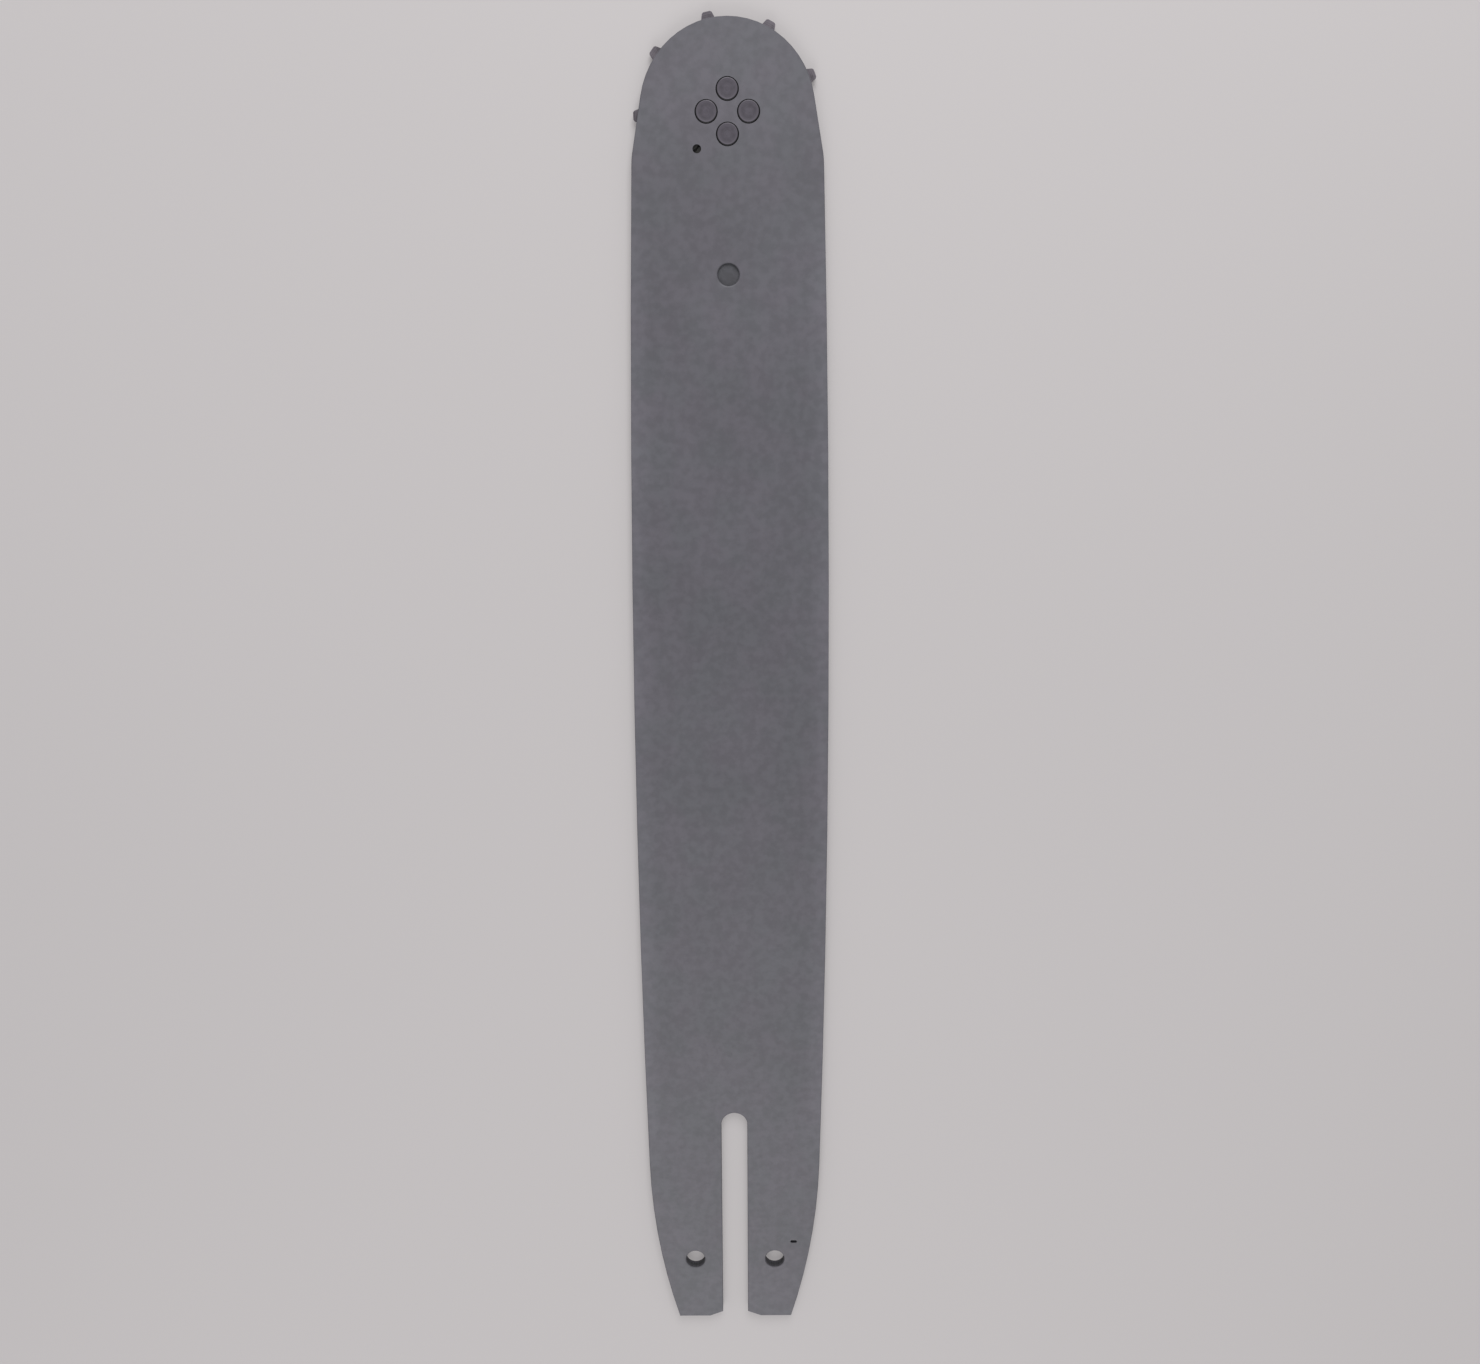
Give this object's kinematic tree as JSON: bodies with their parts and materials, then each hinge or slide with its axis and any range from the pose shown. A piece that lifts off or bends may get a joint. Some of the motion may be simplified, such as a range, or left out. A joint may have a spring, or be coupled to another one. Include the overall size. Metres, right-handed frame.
{
  "type": "chainsaw guide bar",
  "caption": "Flat laminated steel guide bar with a round sprocket nose, a chain groove along its edges, and an open stud slot with tensioner and oil holes at the tail.",
  "frame": {"origin": "on the centre line of the stud slot, level with the two tensioner holes, on the rear face that the bar lies on", "axes": "+Y along the bar to the nose, +Z out of the front face, +X to the right when the front is seen with the nose up"},
  "size_m": [0.0564, 0.3941, 0.0032],
  "materials": {
    "grey_coat": "satin grey coating",
    "core_steel": "grey coating, matt",
    "sprocket_steel": "dark hardened steel",
    "bearing_steel": "ground steel",
    "rivet_steel": "satin grey, peened flush"
  },
  "bodies": {
    "bar": {"front_side_plate": "grey_coat", "rear_side_plate": "grey_coat", "core_plate": "core_steel", "bearing_race": "bearing_steel", "nose_rivets": "rivet_steel"},
    "sprocket": {"nose_sprocket": "sprocket_steel"},
    "rollers": {"bearing_roller_01": "bearing_steel", "bearing_roller_02": "bearing_steel", "bearing_roller_03": "bearing_steel", "bearing_roller_04": "bearing_steel", "bearing_roller_05": "bearing_steel", "bearing_roller_06": "bearing_steel", "bearing_roller_07": "bearing_steel", "bearing_roller_08": "bearing_steel", "bearing_roller_09": "bearing_steel", "bearing_roller_10": "bearing_steel", "bearing_roller_11": "bearing_steel", "bearing_roller_12": "bearing_steel", "bearing_roller_13": "bearing_steel", "bearing_roller_14": "bearing_steel", "bearing_roller_15": "bearing_steel"}
  },
  "joints": [
    {"name": "sprocket_spin", "type": "hinge", "parent": "bar", "child": "sprocket", "pos_m": [0, 0.3482, 0.0016], "axis": [0, 0, 1], "continuous": true},
    {"name": "roller_orbit", "type": "hinge", "parent": "bar", "child": "rollers", "pos_m": [0, 0.3482, 0.0016], "axis": [0, 0, 1], "continuous": true}
  ],
  "couplings": [
    {"joint": "roller_orbit", "follows": "sprocket_spin", "ratio": 0.59604}
  ]
}
